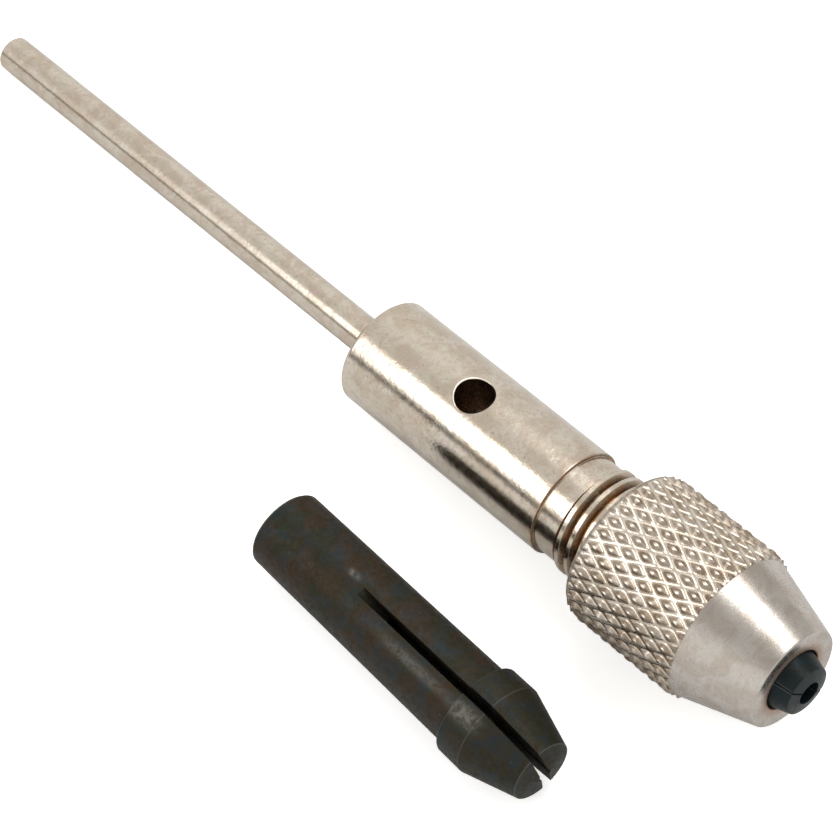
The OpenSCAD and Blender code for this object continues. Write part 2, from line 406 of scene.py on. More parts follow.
# ---------------------------------------------------------------- nut
def knurl_height(x, angles):
    """About 0 in a groove and 1 on a pyramid's flat tip."""
    sharpness = 9.0
    flat_end, groove_start = 0.13, 0.68      # where the flank begins and ends
    u = (x - KNURL_TIP_X) / KNURL_PITCH_X
    v = (angles - KNURL_TIP_ANGLE) * KNURL_STARTS / TAU
    a, b = u + v, u - v
    off_a = np.abs(a - np.round(a)) * 2      # 0 on a tip line, 1 in a groove
    off_b = np.abs(b - np.round(b)) * 2
    soft_max = np.log((np.exp(sharpness * off_a) + np.exp(sharpness * off_b)) / 2) / sharpness
    flank = 1 - np.clip((soft_max - flat_end) / (groove_start - flat_end), 0, 1)
    eased = flank * flank * (3 - 2 * flank)
    # the groove's floor is a shallow hollow, so it catches light over a wide arc
    floor = np.clip((1 - soft_max) / (1 - groove_start), 0, 1)
    hollow = np.where(soft_max > groove_start, 1 - floor * floor, 0.0)
    return 0.8 * flank + 0.2 * eased - 0.10 * hollow


def build_nut():
    """Returns the nut's shells and the knurl height at each vertex of the first."""
    half_cells = 12                          # steps from a tip to a groove
    columns = KNURL_STARTS * 2 * half_cells
    step_x = KNURL_PITCH_X / 2 / half_cells
    seat_x = BODY_END + 0.35
    # x, radius, fillet
    rear = [(NUT_X0, NUT_MOUTH_R), (NUT_X0, KNURL_R - 0.5, 0.07), (NUT_X0 + 0.42, KNURL_R)]
    nose = [
        (KNURL_X1 - 0.17, KNURL_R), (KNURL_X1 - 0.10, KNURL_R, 0.03),
        (KNURL_X1 + 0.14, NOSE_R0, 0.05), (NUT_X1 - 0.02, NOSE_R1 + 0.006, 0.10),
        (NUT_X1, NOSE_R1 - 0.12, 0.03), (NUT_X1, NOSE_BORE_R + 0.05, 0.05),
    ]
    bore = [
        (NUT_X1, NOSE_BORE_R + 0.05), (NUT_X1 - 0.05, NOSE_BORE_R, 0.03),
        (seat_x, NOSE_BORE_R + (NUT_X1 - BODY_END - 0.35) * TAPER, 0.05),
        (seat_x, FEMALE_ROOT_R, 0.05), (NUT_X0 + 0.4, FEMALE_ROOT_R - 0.02, 0.03),
        (NUT_X0, NUT_MOUTH_R),
    ]
    stations = list(rounded(rear))
    x = stations[-1][0] + step_x
    while x < KNURL_X1 - 0.16:
        stations.append((x, KNURL_R))
        x += step_x
    stations += list(densify(rounded(nose), 0.5))
    stations += list(densify(rounded(bore), 1.0)[1:-1])

    angles = column_angles(columns)
    verts, faces, rings, heights = [], [], [], []
    for x, radius in stations:
        height = np.ones(columns)
        if radius > KNURL_R - 0.45 and x < KNURL_X1 + 0.12:
            height = knurl_height(x, angles)
            radius = np.minimum(radius, KNURL_R - KNURL_DEPTH * (1 - height))
        rings.append(add_ring(verts, circle(x, radius, angles)))
        heights += list(height)
    bridge(faces, *rings, rings[0])

    # the nut's ridge runs midway between turns of the body's
    between = THREAD_X + PITCH / 2
    ridge_x0 = between + math.ceil((NUT_X0 + 0.9 - between) / PITCH) * PITCH
    ridge = thread_ridge(ridge_x0, KNURL_X1 - 2.2,
                         foot_r=FEMALE_ROOT_R + 0.1, crest_r=FEMALE_CREST_R,
                         foot_width=0.72, crest_width=0.07)
    return [(verts, faces), ridge], heights


# ---------------------------------------------------------------- collets
def collet_outline(c, x0):
    """Outer (x, radius) outline from the rear edge to the rim of the hole."""
    support = 0.09                           # distance of points beside the soft edges
    cone_x, front_x = x0 + c.collar_end, x0 + c.cone_end
    # x, radius, fillet
    return rounded([
        (x0, 2.2), (x0, c.rear_r - 0.26, 0.1), (x0 + 0.26, c.rear_r, 0.25),
        (x0 + c.tail_len, c.neck_r, 0.05), (x0 + c.tail_len, c.collar_r - 0.02, 0.14),
        (cone_x - support, c.collar_r), (cone_x, c.collar_r, 0.05),
        (cone_x + support, c.collar_r - support * TAPER),
        (front_x - support, c.front_r + support * TAPER), (front_x, c.front_r, 0.05),
        (front_x + support * FACE_SLOPE, c.front_r - support),
        (x0 + c.length - 0.12 * FACE_SLOPE, c.hole_r + 0.12), (x0 + c.length, 0.01),
    ])[1:-1]


def join_rows(verts, faces, outer, inner):
    """Triangles between two rows of different counts, advancing along X."""
    i = j = 0
    last_i, last_j = len(outer) - 1, len(inner) - 1
    while i < last_i or j < last_j:
        next_outer = verts[outer[min(i + 1, last_i)]][0]
        next_inner = verts[inner[min(j + 1, last_j)]][0]
        if i < last_i and (next_outer <= next_inner or j == last_j):
            faces.append((outer[i], outer[i + 1], inner[j]))
            i += 1
        else:
            faces.append((outer[i], inner[j + 1], inner[j]))
            j += 1


class ColletMesh:
    """Builds a collet, or part of one, with its slot lying flat in the XY plane.
    The vertex columns follow the slot's edges."""

    JAW_STEPS, GAP_STEPS = 88, 8             # round one jaw, and across the slot

    def __init__(self, collet, x0, tip_gap, run_out=0.0, flare=0.0):
        """run_out: how much further forward the slot ends inside than outside.
        flare: degrees each jaw springs outwards."""
        self.collet, self.tip_gap, self.flare = collet, tip_gap, flare
        self.verts, self.faces = [], []
        self.root = x0 + SLOT_ROOT
        self.bend = self.root + run_out
        growth = (collet.neck_r - collet.rear_r) * SLOT_ROOT / collet.tail_len
        outline = densify(collet_outline(collet, x0), 0.55)
        split = np.searchsorted(outline[:, 0], self.root)
        # one ring falls exactly on the slot's end
        outline = np.insert(outline, split, [self.root, collet.rear_r + growth], axis=0)
        self.outer_tail = list(outline[:split + 1])
        self.outer_jaw = list(outline[split:])
        wide_r = collet.hole_r + 0.6
        step_x = x0 + collet.length - GRIP_LENGTH
        # x, radius
        self.inner_jaw = list(densify(np.array([
            (x0 + collet.length - 0.05 * FACE_SLOPE, collet.hole_r + 0.05),
            (x0 + collet.length - 0.06, collet.hole_r), (step_x + 0.35, collet.hole_r),
            (step_x, wide_r), (self.bend, wide_r),
        ]), 0.8))
        self.inner_tail = list(densify(np.array([
            (self.bend, wide_r), (x0 + 0.15, wide_r), (x0, wide_r + 0.15),
        ]), 0.8))

    def angles(self, x, r):
        """Angles of the +Z jaw, then of the slot at -Y; half a turn on gives the others."""
        c = self.collet
        f = (x - self.root) / (c.length - SLOT_ROOT)
        a = math.asin((c.slot + (self.tip_gap - c.slot) * f) / 2 / r)
        jaw = [a + (math.pi - 2 * a) * j / self.JAW_STEPS for j in range(self.JAW_STEPS + 1)]
        gap = [math.pi - a + 2 * a * j / self.GAP_STEPS for j in range(1, self.GAP_STEPS)]
        return jaw, gap

    def row(self, x, r, angles, turn=0.0, side=0):
        """Adds a row of points. side: +1 or -1 for the +Z or -Z jaw, 0 for the tail."""
        points = circle(x, r, [turn + angle for angle in angles])
        if self.flare and side and x > self.bend:
            spring = math.radians(self.flare) * side
            cos, sin = math.cos(spring), math.sin(spring)
            reach = x - self.bend
            points = [(self.bend + reach * cos - z * sin, y, reach * sin + z * cos)
                      for _, y, z in points]
        return add_ring(self.verts, points)

    def jaw(self, side, setback=0.0):
        """One jaw, open at its rear, which stands setback ahead of the slot's end."""
        stations = [tuple(p) for p in self.outer_jaw + self.inner_jaw]
        for end in (0, -1):
            x, r = stations[end]
            stations[end] = (x + setback, r)
        turn = 0.0 if side > 0 else math.pi
        rows = [self.row(x, r, self.angles(x, r)[0], turn, side) for x, r in stations]
        bridge(self.faces, *rows, closed=False)
        outer_count = len(self.outer_jaw)
        for edge in (0, self.JAW_STEPS):     # the two flat faces along the slot
            outer = [row[edge] for row in rows[:outer_count]]
            inner = [row[edge] for row in rows[outer_count:]][::-1]
            join_rows(self.verts, self.faces, outer, inner)
        return rows

    def full_ring(self, x, r, jaws=None):
        """A tail ring with jaw and gap columns in order; jaws gives rows made already."""
        jaw, gap = self.angles(self.root, r)
        turns = (0.0, math.pi)
        upper, lower = jaws or [self.row(x, r, jaw, turn) for turn in turns]
        gap_a, gap_b = [self.row(x, r, gap, turn) for turn in turns]
        return upper + gap_a + lower + gap_b


def single_jaw(collet, x0, tip_gap):
    build = ColletMesh(collet, x0, tip_gap)
    rows = build.jaw(1, setback=0.06)
    bridge(build.faces, rows[-1], rows[0], closed=False)
    return build.verts, build.faces


def single_tail(collet, x0, tip_gap):
    build = ColletMesh(collet, x0, tip_gap)
    angles = column_angles(2 * build.JAW_STEPS)
    rings = [build.row(x, r, angles) for x, r in build.outer_tail + build.inner_tail]
    bridge(build.faces, *rings, rings[0])
    return build.verts, build.faces


def whole_collet(collet, x0, tip_gap, run_out, flare):
    build = ColletMesh(collet, x0, tip_gap, run_out, flare)
    faces = build.faces
    upper = build.jaw(1)
    lower = build.jaw(-1)
    outer_root = build.full_ring(*build.outer_tail[-1], (upper[0], lower[0]))
    inner_root = build.full_ring(*build.inner_tail[0], (upper[-1], lower[-1]))
    # the slot's end, on both sides
    jaw_steps, gap_steps = build.JAW_STEPS, build.GAP_STEPS
    for start in (jaw_steps, 2 * jaw_steps + gap_steps):
        outer, inner = [(ring + ring[:1])[start:start + gap_steps + 1]
                        for ring in (outer_root, inner_root)]
        bridge(faces, outer, inner, closed=False)
    outside = [build.full_ring(x, r) for x, r in build.outer_tail[:-1]]
    inside = [build.full_ring(x, r) for x, r in build.inner_tail[1:]]
    bridge(faces, *outside, outer_root)
    bridge(faces, inner_root, *inside)
    bridge(faces, inside[-1], outside[0])
    return build.verts, faces


def turned_x(verts, angle):
    cos, sin = math.cos(angle), math.sin(angle)
    return [(x, y * cos - z * sin, y * sin + z * cos) for x, y, z in verts]


# ---------------------------------------------------------------- node helpers
class Nodes:
    """Small wrapper that keeps shader code short."""

    def __init__(self, tree):
        self.tree = tree
        tree.nodes.clear()

    def node(self, kind, **settings):
        node = self.tree.nodes.new(kind)
        for key, value in settings.items():
            setattr(node, key, value)
        return node

    def feed(self, node, inputs):
        """Links or sets inputs, given as {name or index: socket or value}."""
        for key, value in inputs.items():
            if isinstance(value, bpy.types.NodeSocket):
                self.tree.links.new(value, node.inputs[key])
            else:
                node.inputs[key].default_value = value

    def math(self, operation, *values, clamp=False):
        node = self.node("ShaderNodeMath", operation=operation, use_clamp=clamp)
        self.feed(node, dict(enumerate(values)))
        return node.outputs[0]

    def mul(self, first, *others):
        for other in others:
            first = self.math("MULTIPLY", first, other)
        return first

    def sum(self, a, b):
        return self.math("ADD", a, b)

    def ramp(self, value, start, end, low=0.0, high=1.0):
        """Smooth step from low, at start, to high, at end."""
        node = self.node("ShaderNodeMapRange", interpolation_type="SMOOTHSTEP")
        self.feed(node, dict(enumerate((value, start, end, low, high))))
        return node.outputs[0]

    def xyz(self, vector):
        node = self.node("ShaderNodeSeparateXYZ")
        self.feed(node, {0: vector})
        return node.outputs[0], node.outputs[1], node.outputs[2]

    def vec(self, x, y, z):
        node = self.node("ShaderNodeCombineXYZ")
        self.feed(node, {0: x, 1: y, 2: z})
        return node.outputs[0]

    def noise(self, vector, scale, detail, roughness, distortion=0.0):
        node = self.node("ShaderNodeTexNoise")
        self.feed(node, {"Vector": vector, "Scale": scale, "Detail": detail,
                         "Roughness": roughness, "Distortion": distortion})
        return node.outputs["Fac"]

    def mix(self, factor, a, b, blend="MIX"):
        node = self.node("ShaderNodeMix", data_type="RGBA", blend_type=blend)
        self.feed(node, {0: factor, 6: a, 7: b})
        return node.outputs[2]

    def tint(self, colour, mask, strength, toward):
        return self.mix(self.mul(mask, strength), colour, toward)

    def attribute(self, name):
        return self.node("ShaderNodeAttribute", attribute_name=name).outputs["Fac"]

    def bumps(self, *layers):
        """Stacks bumps; each layer is height, strength, distance in metres."""
        normal = None
        for height, strength, distance in layers:
            node = self.node("ShaderNodeBump")
            self.feed(node, {"Strength": strength, "Distance": distance, "Height": height})
            if normal is not None:
                self.feed(node, {"Normal": normal})
            normal = node.outputs[0]
        return normal


def rgb(r, g, b, gain=1.0):
    return (r * gain, g * gain, b * gain, 1.0)


def new_material(name):
    """Returns the material, its nodes, its shader and the object's position in mm."""
    mat = bpy.data.materials.new(name)
    mat.use_nodes = True
    nodes = Nodes(mat.node_tree)
    out = nodes.node("ShaderNodeOutputMaterial")
    shader = nodes.node("ShaderNodeBsdfPrincipled")
    nodes.feed(out, {0: shader.outputs[0]})
    coordinates = nodes.node("ShaderNodeTexCoord")
    scale = nodes.node("ShaderNodeVectorMath", operation="SCALE")
    nodes.feed(scale, {0: coordinates.outputs["Object"], "Scale": 1 / MM})
    return mat, nodes, shader, scale.outputs[0]


# ---------------------------------------------------------------- materials
def thread_stain_and_shade(nodes, colour, roughness, pattern):
    """Brown oxide, and a painted shade line at the barrel's front edge, wherever the attribute is
    set.
    """
    patchy = nodes.ramp(pattern.speck, start=0.25, end=0.60, low=0.75, high=1.0)
    stain_and_shade = nodes.math("MULTIPLY", nodes.attribute("stain_and_shade"), patchy, clamp=True)
    brown = nodes.mix(nodes.ramp(pattern.blotch, start=0.4, end=0.6),
                      rgb(0.25, 0.105, 0.022), rgb(0.085, 0.046, 0.016))
    colour = nodes.mix(stain_and_shade, colour, brown)
    added_roughness = 0.18
    return colour, nodes.sum(roughness, nodes.mul(stain_and_shade, added_roughness))


def nut_soil_and_shade(nodes, colour, roughness, pattern):
    """Soil and painted shade on the knurl's flanks, bright tips, a darker nose, a brown rim and
    painted shade inside the mouth.
    """
    added_roughness = SimpleNamespace(flank=0.20, mouth=0.30)
    height = nodes.attribute("cavity")
    flank = nodes.mul(nodes.ramp(height, start=0.06, end=0.27),
                      nodes.ramp(height, start=0.97, end=0.80))
    # the flanks' darker brown is partly dirt and partly painted shade; the tips and the groove
    # floors stay bright
    soil_and_shade = nodes.mul(flank, nodes.ramp(pattern.speck, start=0.30, end=0.62, low=0.55, high=0.95))
    dirt_and_shade_colour = nodes.mix(nodes.ramp(pattern.blotch, start=0.4, end=0.6),
                     rgb(0.235, 0.175, 0.125), rgb(0.35, 0.295, 0.245))
    colour = nodes.mix(soil_and_shade, colour, dirt_and_shade_colour)
    tip = nodes.ramp(height, start=0.86, end=1.0)
    grip = nodes.ramp(pattern.x, start=KNURL_X1 + 0.10, end=KNURL_X1 + 0.02)
    colour = nodes.tint(colour, nodes.mul(tip, grip), strength=0.5, toward=rgb(0.80, 0.75, 0.67))
    roughness = nodes.sum(roughness, nodes.mul(flank, added_roughness.flank))
    nose = nodes.ramp(pattern.x, start=KNURL_X1 + 0.02, end=KNURL_X1 + 0.12)
    colour = nodes.mix(nose, colour, rgb(0.89, 0.925, 1.0), blend="MULTIPLY")
    # radius inside the mouth, less a part of the depth behind its rim
    depth_share = 0.30
    depth = nodes.math("SUBTRACT", pattern.x, NUT_X1)
    wall = nodes.sum(pattern.r, nodes.mul(depth, depth_share))
    rim = nodes.mul(nodes.ramp(wall, start=3.75, end=2.95),
                    nodes.ramp(pattern.speck, start=0.25, end=0.6, low=0.8, high=1.0), nose)
    colour = nodes.tint(colour, rim, strength=0.62, toward=rgb(0.43, 0.275, 0.20))
    # painted shade: dark brown deep inside the nut's mouth, in the gap round the collet
    inside = nodes.mul(nodes.ramp(wall, start=2.90, end=2.74), nose)
    colour = nodes.tint(colour, inside, strength=0.90, toward=rgb(0.13, 0.062, 0.034))
    mouth = nodes.math("MAXIMUM", inside, rim)
    return colour, nodes.sum(roughness, nodes.mul(mouth, added_roughness.mouth))


def plated_steel(name, rough, brush, mottle, tone, layer=None):
    """Old nickel. brush: turning marks. mottle: tarnish. layer: a piece's own soiling and painted
    shade.
    """
    mat, nodes, shader, p = new_material(name)
    x, y, z = nodes.xyz(p)
    r = nodes.math("SQRT", nodes.sum(nodes.mul(y, y), nodes.mul(z, z)))
    least_r = 0.2                            # keeps the division safe on the axis
    inverse = nodes.math("DIVIDE", 1.0, nodes.math("MAXIMUM", r, least_r))
    unit_y, unit_z = nodes.mul(y, inverse), nodes.mul(z, inverse)
    radial_share = 0.9                       # lets the marks cross end faces too
    along = nodes.sum(x, nodes.mul(r, radial_share))

    def turning(along_scale, round_scale, detail, roughness):
        """Noise that changes fast along the axis and slowly round it."""
        place = nodes.vec(nodes.mul(along, along_scale), nodes.mul(unit_y, round_scale),
                          nodes.mul(unit_z, round_scale))
        return nodes.noise(place, scale=1.0, detail=detail, roughness=roughness)

    lines = turning(along_scale=14.0, round_scale=1.6, detail=4.0, roughness=0.65)
    fine = turning(along_scale=42.0, round_scale=5.0, detail=2.0, roughness=0.6)
    blotch = nodes.noise(p, scale=0.55, detail=4.0, roughness=0.6, distortion=0.6)
    speck = nodes.noise(p, scale=2.6, detail=3.0, roughness=0.65, distortion=0.3)
    grain = nodes.noise(p, scale=9.0, detail=2.0, roughness=0.6)
    tarnish = nodes.noise(p, scale=1.1, detail=3.0, roughness=0.6, distortion=0.5)
    pin = nodes.noise(p, scale=5.2, detail=1.0, roughness=0.4)

    warm, cool = rgb(0.560, 0.475, 0.385, tone), rgb(0.655, 0.590, 0.510, tone)
    colour = nodes.mix(nodes.ramp(blotch, start=0.38, end=0.62), warm, cool)
    # brown specks, green and pink casts, turning marks, small brown pin marks
    for mask, strength, toward in (
        (nodes.ramp(speck, start=0.48, end=0.68), 0.50 * mottle, rgb(0.46, 0.375, 0.285, tone)),
        (nodes.ramp(tarnish, start=0.52, end=0.66), 0.30 * mottle, rgb(0.50, 0.50, 0.36, tone)),
        (nodes.ramp(tarnish, start=0.46, end=0.34), 0.30 * mottle, rgb(0.62, 0.50, 0.47, tone)),
        (nodes.ramp(lines, start=0.40, end=0.62), 0.20 * brush, rgb(0.50, 0.43, 0.35, tone)),
        (nodes.ramp(pin, start=0.70, end=0.77), 0.55 * mottle, rgb(0.30, 0.19, 0.10)),
    ):
        colour = nodes.tint(colour, mask, strength, toward)

    speck_rough, line_rough = 0.10 * mottle, 0.22 * brush
    roughness = nodes.sum(rough, nodes.mul(nodes.ramp(speck, start=0.35, end=0.75), speck_rough))
    centred_lines = nodes.math("SUBTRACT", lines, 0.5)
    roughness = nodes.sum(roughness, nodes.mul(centred_lines, line_rough))
    if layer:
        pattern = SimpleNamespace(x=x, r=r, blotch=blotch, speck=speck)
        colour, roughness = layer(nodes, colour, roughness, pattern)
    normal = nodes.bumps(
        (grain, 0.10 * mottle, 0.00002),
        (speck, 0.22 * mottle, 0.00006),
        (lines, 0.35 * brush, 0.00002),
        (fine, 0.30 * brush, 0.00001),
    )
    nodes.feed(shader, {"Base Color": colour, "Metallic": 1.0, "Roughness": roughness,
                        "Normal": normal})
    return mat


def black_oxide(name, tint, brown, dim, rough):
    """Blackened steel. tint: shift from olive to blue. brown: amount of rust colour."""
    mat, nodes, shader, p = new_material(name)
    blotch = nodes.noise(p, scale=0.42, detail=5.0, roughness=0.62, distortion=0.8)
    fleck = nodes.noise(p, scale=2.2, detail=4.0, roughness=0.7, distortion=0.4)
    scuff = nodes.noise(p, scale=4.5, detail=2.0, roughness=0.5)
    grain = nodes.noise(p, scale=11.0, detail=2.0, roughness=0.6)
    cast = nodes.noise(p, scale=0.75, detail=4.0, roughness=0.6, distortion=0.5)
    olive = rgb(0.0145 - 0.009 * tint, 0.0165, 0.0085 + 0.012 * tint, dim)
    rust = rgb(0.030, 0.0155, 0.0070, dim)
    blue = rgb(0.0075, 0.0125, 0.0185, dim)
    black = rgb(0.007, 0.008, 0.006, dim)

    # less rust and more blue towards +X
    ahead = nodes.ramp(nodes.xyz(p)[0], start=27.6, end=28.8)
    rusty = nodes.mul(nodes.ramp(blotch, start=0.36, end=0.60),
                      nodes.ramp(ahead, start=0, end=1, low=0.95 * brown, high=0.45 * brown))
    colour = nodes.mix(rusty, olive, rust)
    bluish = nodes.mul(nodes.ramp(cast, start=0.44, end=0.68),
                       nodes.ramp(ahead, start=0, end=1, low=0.40, high=0.62))
    colour = nodes.mix(bluish, colour, blue)
    colour = nodes.mix(nodes.ramp(fleck, start=0.42, end=0.66, low=0.0, high=0.45), colour, black)

    # bare metal in scattered scuffs and where the wear attribute is set
    scatter_strength, bare_metallic, fleck_rough = 0.55, 0.6, 0.16
    worn = nodes.mul(nodes.ramp(scuff, start=0.70, end=0.78),
                     nodes.ramp(blotch, start=0.40, end=0.58))
    patchy = nodes.ramp(fleck, start=0.36, end=0.60, low=0.15, high=1.0)
    rubbed = nodes.math("MULTIPLY", nodes.attribute("wear"), patchy, clamp=True)
    lightened = nodes.math("MAXIMUM", nodes.mul(worn, scatter_strength), rubbed)
    colour = nodes.tint(colour, lightened, strength=0.70, toward=rgb(0.19, 0.185, 0.17))
    # bright hairline along turned edges: bare metal where the oxide is lost, and painted
    # highlight
    hairline_patches = nodes.ramp(fleck, start=0.28, end=0.60, low=0.55, high=1.0)
    hairline = nodes.math("MULTIPLY", nodes.attribute("edge"), hairline_patches, clamp=True)
    colour = nodes.mix(hairline, colour, rgb(0.115, 0.130, 0.135))
    sheen = nodes.mix(nodes.ramp(cast, start=0.45, end=0.62),
                      rgb(1.0, 0.93, 0.78), rgb(0.72, 0.90, 1.0))
    nodes.feed(shader, {
        "Base Color": colour,
        "Metallic": nodes.mul(lightened, bare_metallic),
        "Specular IOR Level": nodes.ramp(cast, start=0.35, end=0.65,
                                         low=0.20 * dim, high=0.30 * dim),
        "Specular Tint": sheen,
        "Roughness": nodes.sum(
            rough, nodes.mul(nodes.ramp(fleck, start=0.3, end=0.7), fleck_rough)),
        "Normal": nodes.bumps((grain, 0.20, 0.00002), (fleck, 0.30, 0.00006)),
    })
    return mat


def bench_white():
    """Lit to white when seen directly; what the metal mirrors is a duller sheet."""
    mat, nodes, shader, p = new_material("bench_white")
    paper = nodes.noise(p, scale=0.05, detail=2.0, roughness=0.5)
    seen = nodes.node("ShaderNodeLightPath").outputs["Is Camera Ray"]
    sheet = nodes.mix(paper, rgb(0.68, 0.685, 0.69), rgb(0.70, 0.70, 0.70))
    glow = 0.45
    nodes.feed(shader, {
        "Base Color": nodes.mix(seen, sheet, rgb(0.95, 0.95, 0.95)),
        "Roughness": 0.9,
        "Specular IOR Level": 0.1,
        "Emission Color": rgb(1.0, 1.0, 1.0),
        "Emission Strength": nodes.mul(seen, glow),
    })
    return mat


body_mat = plated_steel("body_nickel", rough=0.13, brush=0.18, mottle=1.0, tone=0.98,
                        layer=thread_stain_and_shade)
shank_mat = plated_steel("shank_nickel", rough=0.18, brush=0.25, mottle=0.8, tone=0.96)
nut_mat = plated_steel("nut_nickel", rough=0.24, brush=1.0, mottle=0.6, tone=1.0,
                       layer=nut_soil_and_shade)
jaw_mat = black_oxide("jaw_oxide", tint=1.0, brown=0.2, dim=0.72, rough=0.30)
spare_mat = black_oxide("spare_oxide", tint=0.0, brown=1.0, dim=0.90, rough=0.42)


# ---------------------------------------------------------------- pieces
def set_attribute(ob, name, values):
    layer = ob.data.attributes.new(name, "FLOAT", "POINT")
    layer.data.foreach_set("value", np.asarray(values, np.float32))


def coords(ob):
    """Vertex places in mm, one row each."""
    co = np.zeros(len(ob.data.vertices) * 3, np.float32)
    ob.data.vertices.foreach_get("co", co)
    return co.reshape(-1, 3) / MM


def finish_piece(ob, body, mat, node):
    ob.data.materials.append(mat)
    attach(ob, body)
    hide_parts(node)


def make_body():
    ob = solid("body_turned", build_body())
    x, y, z = coords(ob).T
    radius = np.hypot(y, z)
    # brown stain deepest in the thread's grooves and inside the hole; painted shade as a thin
    # dark line on the barrel's front edge
    thread = np.clip(0.22 + (4.70 - radius) / 0.22, 0, 1) * (x > RELIEF_END - 0.35)
    # painted shade: a thin dark line on the barrel's front edge, where it steps down to the neck
    edge = np.exp(-np.abs(x - BARREL_END) / 0.05) * 0.7 * (radius > 4.3)
    in_hole = (np.hypot(x - CROSS_X, y) < CROSS_R + 0.02) * (np.abs(z) < 4.55)
    set_attribute(ob, "stain_and_shade", np.clip(thread + edge + in_hole * 0.85, 0, 1))
    finish_piece(ob, "holder", body_mat, "body")


def make_shank():
    # x, radius, fillet
    outline = rounded([
        (SHANK_X0, 0.0), (SHANK_X0, SHANK_R - 0.32, 0.08), (SHANK_X0 + 0.26, SHANK_R, 0.3),
        (-0.01, SHANK_R, 0.02), (-0.01, PRESS_R), (SHANK_X1 - 0.3, PRESS_R, 0.05),
        (SHANK_X1, PRESS_R - 0.3, 0.03), (SHANK_X1, 0.0),
    ])
    ob = solid("shank_pin", [revolve(densify(outline, 1.0), 160)])
    finish_piece(ob, "holder", shank_mat, "shank")


def make_nut():
    shells, heights = build_nut()
    ob = solid("knurled_nut", shells, smooth_angle=50.0)
    cavity = np.ones(len(ob.data.vertices))
    cavity[: len(heights)] = heights
    set_attribute(ob, "cavity", cavity)
    finish_piece(ob, "nut", nut_mat, "nut")


def make_fitted_tail():
    ob = solid("fitted_collet_tail", [single_tail(FITTED, COLLET_X0, FITTED_TIP_GAP)])
    for name in ("wear", "edge"):
        set_attribute(ob, name, np.zeros(len(ob.data.vertices)))
    finish_piece(ob, "collet", jaw_mat, "collet_tail")


def make_fitted_jaw(body, degrees):
    turn = math.radians(degrees)
    verts, faces = single_jaw(FITTED, COLLET_X0, FITTED_TIP_GAP)
    ob = solid("fitted_" + body, [(turned_x(verts, turn), faces)])
    x, y, z = coords(ob).T
    radius = np.hypot(y, z)
    off_slot = np.abs(y * math.sin(turn) - z * math.cos(turn))
    behind = COLLET_X0 + FITTED.cone_end - x     # distance behind the cone's front edge
    near_front = np.clip((2.0 - behind) / 0.4, 0, 1) * np.clip(behind / 0.15, 0, 1)
    # lighter edges along the slot, round the hole and round the cone's front: bare metal and
    # painted highlight
    lightened = (np.exp(-((off_slot - 0.06) / 0.035) ** 2) * near_front
            * (radius > FITTED.front_r - 0.02) * 0.8)
    lightened += np.exp(-((radius - FITTED.hole_r - 0.06) / 0.05) ** 2) * (x > TIP_X - 0.05) * 0.35
    lightened += np.exp(-(behind / 0.06) ** 2) * (radius > FITTED.front_r - 0.1) * 0.15
    set_attribute(ob, "wear", np.zeros(len(x)))
    set_attribute(ob, "edge", np.clip(lightened, 0, 1))
    finish_piece(ob, body, jaw_mat, "collet_" + body)


def make_spare():
    ob = solid("spare_collet_sprung",
               [whole_collet(SPARE, 0.0, tip_gap=SPARE.slot, run_out=2.3, flare=0.1)])
    local = coords(ob)
    # it rests on its tail and its collar
    lean = math.asin((SPARE.collar_r - SPARE.rear_r) / SPARE.collar_end)
    place = (Matrix.Translation(Vector((SPARE_X, SPARE_Y, bench_z(SPARE_X) + SPARE.rear_r)))
             @ Matrix.Rotation(TILT, 4, "Y") @ Matrix.Rotation(math.radians(-1.9), 4, "Z")
             @ Matrix.Rotation(-lean, 4, "Y") @ Matrix.Rotation(math.radians(98.5), 4, "X"))
    placed = local @ np.array(place.to_3x3()).T + np.array(place.to_translation())
    ob.data.vertices.foreach_set("co", (placed * MM).astype(np.float32).ravel())
    ob.data.update()

    x, y, z = local.T
    degrees = np.degrees(np.arctan2(z, y))
    radius = np.hypot(y, z)
    # strength, x, degrees round the axis, half length, half width in degrees
    scuffs = [
        (0.85, 24.1, 21.5, 1.6, 10.0),
        (0.55, 18.0, 22.5, 3.6, 7.0),
        (0.9, 9.0, -10.5, 0.5, 5.0),
    ]
    # bright edge lines, partly bare metal and partly painted highlight
    # strength, x, radius, width
    edge_wear_and_highlights = [
        (0.25, SPARE.tail_len + 0.03, SPARE.collar_r - 0.03, 0.07),
        (0.34, SPARE.collar_end, SPARE.collar_r, 0.045),
        (0.62, SPARE.cone_end, SPARE.front_r, 0.045),
        (0.25, 0.15, SPARE.rear_r - 0.05, 0.10),
    ]
    wear = sum(s * np.exp(-np.abs((x - at_x) / half_x) ** 3
                          - np.abs((degrees - at_angle) / half_angle) ** 3)
               for s, at_x, at_angle, half_x, half_angle in scuffs)
    edge = sum(s * np.exp(-(((x - at_x) / width) ** 2) - ((radius - at_r) / width) ** 2)
               for s, at_x, at_r, width in edge_wear_and_highlights)
    set_attribute(ob, "edge", np.clip(edge, 0, 1))
    set_attribute(ob, "wear", np.clip(wear * (radius > 2.3), 0, 1))
    finish_piece(ob, "spare", spare_mat, "spare_collet")


def make_bench():
    reach, gap = 1500.0, 0.01
    corners = [(-reach, -reach), (reach, -reach), (reach, reach), (-reach, reach)]
    ob = new_mesh("bench_top", [(x, y, bench_z(x) - gap) for x, y in corners], [(0, 1, 2, 3)])
    ob.data.materials.append(bench_white())


make_body()
make_shank()
make_nut()
make_fitted_tail()
make_fitted_jaw("jaw_a", degrees=-45)
make_fitted_jaw("jaw_b", degrees=135)
make_spare()
make_bench()


